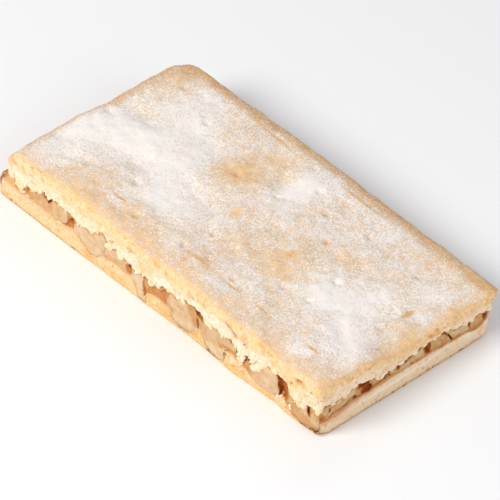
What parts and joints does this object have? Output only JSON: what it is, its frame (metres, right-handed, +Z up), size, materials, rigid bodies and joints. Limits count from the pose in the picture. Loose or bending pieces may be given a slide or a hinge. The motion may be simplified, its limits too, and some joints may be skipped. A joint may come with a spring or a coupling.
{
  "type": "apple square",
  "caption": "Bar of tray-baked pastry: pale crusts under and over a layer of cooked apple dice, with knife-cut sides and icing sugar on top.",
  "frame": {"origin": "centre of the base, where the bar rests on the table", "axes": "+Z up; +X along the bar towards its cut end; the long cut side with the filling faces -Y"},
  "size_m": [0.146, 0.072, 0.0214],
  "materials": {
    "bottom_crust": "baked shortcrust, dry and matt, tan with darker specks at the base",
    "apple_filling": "cooked apple in its own syrup, translucent and moist",
    "top_crust": "soft baked crust, matt, dusted with icing sugar on top"
  },
  "bodies": {
    "root": {"bottom_crust": "bottom_crust", "apple_filling": "apple_filling", "top_crust": "top_crust"}
  },
  "joints": []
}
